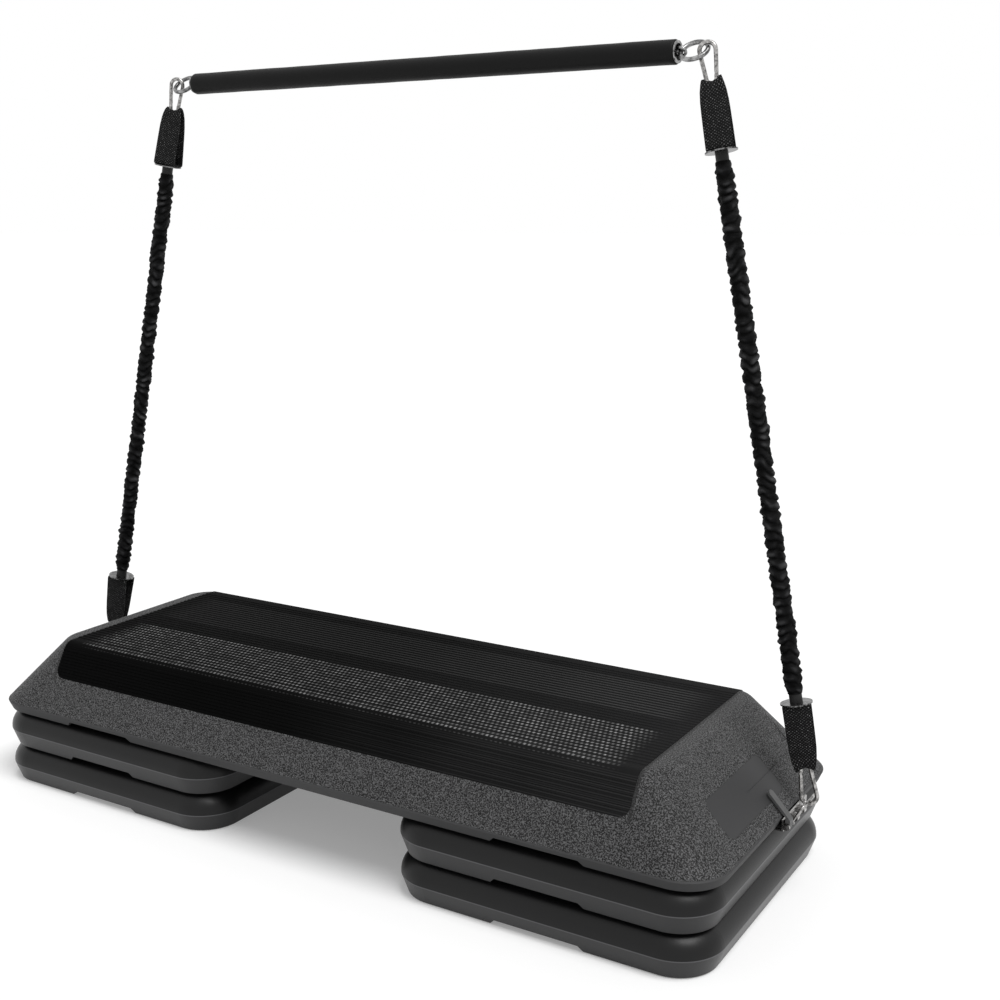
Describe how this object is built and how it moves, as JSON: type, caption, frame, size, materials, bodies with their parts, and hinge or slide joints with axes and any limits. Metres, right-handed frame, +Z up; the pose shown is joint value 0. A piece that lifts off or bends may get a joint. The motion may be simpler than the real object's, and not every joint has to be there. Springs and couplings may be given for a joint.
{
  "type": "stepper",
  "caption": "Aerobic step platform with a ribbed mat on stacked risers, and a foam-gripped bar held by elastic bands hooked to clamps at its ends.",
  "frame": {"origin": "on the floor under the middle of the platform", "axes": "+X along the platform, -Y towards the user's front long side, +Z up"},
  "size_m": [1.1488, 0.404, 0.975],
  "materials": {
    "deck_plastic": "dark grey moulded plastic with a pebbled texture",
    "riser_plastic": "black moulded plastic, satin",
    "mat_rubber": "black ribbed rubber",
    "foot_rubber": "black rubber",
    "bar_steel": "plain steel tube",
    "grip_foam": "black closed-cell foam, satin skin",
    "chrome_steel": "polished plated steel",
    "nickel_steel": "bright nickel-plated steel",
    "plug_plastic": "black plastic",
    "tab_plastic": "grey plastic, satin",
    "webbing_nylon": "black woven nylon webbing",
    "sleeve_nylon": "black gathered nylon",
    "latex": "black latex tube"
  },
  "bodies": {
    "base": {"lower_left_riser": "riser_plastic", "lower_right_riser": "riser_plastic", "lower_riser_feet": "foot_rubber"},
    "upper_left": {"upper_left_riser": "riser_plastic", "upper_left_feet": "foot_rubber"},
    "upper_right": {"upper_right_riser": "riser_plastic", "upper_right_feet": "foot_rubber"},
    "deck": {"deck_shell": "deck_plastic", "deck_feet": "foot_rubber", "top_mat": "mat_rubber", "left_clamp_bracket": "nickel_steel", "left_clamp_pad": "foot_rubber", "left_clamp_pin": "nickel_steel", "left_clamp_bail": "nickel_steel", "left_lower_hook": "nickel_steel", "left_lower_rivet": "nickel_steel", "left_lower_webbing": "webbing_nylon", "left_lower_washer": "chrome_steel", "left_lower_stopper": "plug_plastic", "right_clamp_bracket": "nickel_steel", "right_clamp_pad": "foot_rubber", "right_clamp_pin": "nickel_steel", "right_clamp_bail": "nickel_steel", "right_lower_hook": "nickel_steel", "right_lower_rivet": "nickel_steel", "right_lower_webbing": "webbing_nylon", "right_lower_washer": "chrome_steel", "right_lower_stopper": "plug_plastic"},
    "bar": {"bar_tube": "bar_steel", "bar_grip": "grip_foam", "bar_ferrules": "chrome_steel", "bar_plugs": "plug_plastic", "eye_bolts": "chrome_steel", "eye_nuts": "chrome_steel", "left_upper_hook": "nickel_steel", "left_upper_rivet": "nickel_steel", "left_upper_webbing": "webbing_nylon", "left_upper_washer": "chrome_steel", "left_upper_stopper": "plug_plastic", "left_tube": "latex", "left_sleeve": "sleeve_nylon", "right_upper_hook": "nickel_steel", "right_upper_rivet": "nickel_steel", "right_upper_webbing": "webbing_nylon", "right_upper_washer": "chrome_steel", "right_upper_stopper": "plug_plastic", "right_tube": "latex", "right_sleeve": "sleeve_nylon"},
    "ring_left": {"left_ring": "chrome_steel"},
    "tab_left": {"left_clamp_tab": "tab_plastic"},
    "gate_left_upper": {"left_upper_gate": "nickel_steel"},
    "gate_left_lower": {"left_lower_gate": "nickel_steel"},
    "ring_right": {"right_ring": "chrome_steel"},
    "tab_right": {"right_clamp_tab": "tab_plastic"},
    "gate_right_upper": {"right_upper_gate": "nickel_steel"},
    "gate_right_lower": {"right_lower_gate": "nickel_steel"}
  },
  "joints": [
    {"name": "left_riser_lift", "type": "slide", "parent": "base", "child": "upper_left", "axis": [0, 0, 1], "range_m": [0, 0.06]},
    {"name": "right_riser_lift", "type": "slide", "parent": "base", "child": "upper_right", "axis": [0, 0, 1], "range_m": [0, 0.06]},
    {"name": "deck_lift", "type": "slide", "parent": "upper_left", "child": "deck", "axis": [0, 0, 1], "range_m": [0, 0.06]},
    {"name": "bar_lift", "type": "slide", "parent": "deck", "child": "bar", "axis": [0, 0, 1], "range_m": [0, 0.45], "stiffness_N_per_m": 150, "deforming": ["left_tube", "left_sleeve", "right_tube", "right_sleeve"]},
    {"name": "left_ring_spin", "type": "hinge", "parent": "bar", "child": "ring_left", "pos_m": [-0.38235, 0.078, 0.961], "axis": [0, -0.6561, 0.7547], "continuous": true},
    {"name": "left_tab_open", "type": "hinge", "parent": "deck", "child": "tab_left", "pos_m": [-0.5528, 0.012, 0.104], "axis": [0, -1, 0], "range_deg": [0, 100]},
    {"name": "left_upper_gate_open", "type": "hinge", "parent": "bar", "child": "gate_left_upper", "pos_m": [-0.39798, 0.07847, 0.93176], "axis": [0.2588, -0.9658, -0.0146], "range_deg": [0, 20], "stiffness_Nm_per_rad": 0.03, "springref_deg": -17.19},
    {"name": "left_lower_gate_open", "type": "hinge", "parent": "deck", "child": "gate_left_lower", "pos_m": [-0.56347, 0.04584, 0.15657], "axis": [0.2588, -0.9658, -0.0146], "range_deg": [0, 20], "stiffness_Nm_per_rad": 0.03, "springref_deg": -17.19},
    {"name": "right_ring_spin", "type": "hinge", "parent": "bar", "child": "ring_right", "pos_m": [0.38235, 0.078, 0.961], "axis": [0, -0.6561, 0.7547], "continuous": true},
    {"name": "right_tab_open", "type": "hinge", "parent": "deck", "child": "tab_right", "pos_m": [0.5528, 0.012, 0.104], "axis": [0, 1, 0], "range_deg": [0, 100]},
    {"name": "right_upper_gate_open", "type": "hinge", "parent": "bar", "child": "gate_right_upper", "pos_m": [0.40935, 0.07855, 0.93401], "axis": [0.2578, -0.9622, 0.0877], "range_deg": [0, 20], "stiffness_Nm_per_rad": 0.03, "springref_deg": -17.19},
    {"name": "right_lower_gate_open", "type": "hinge", "parent": "deck", "child": "gate_right_lower", "pos_m": [0.5521, 0.04576, 0.15432], "axis": [0.2578, -0.9622, 0.0877], "range_deg": [0, 20], "stiffness_Nm_per_rad": 0.03, "springref_deg": -17.19}
  ],
  "couplings": [
    {"joint": "right_riser_lift", "follows": "left_riser_lift", "ratio": 1}
  ]
}
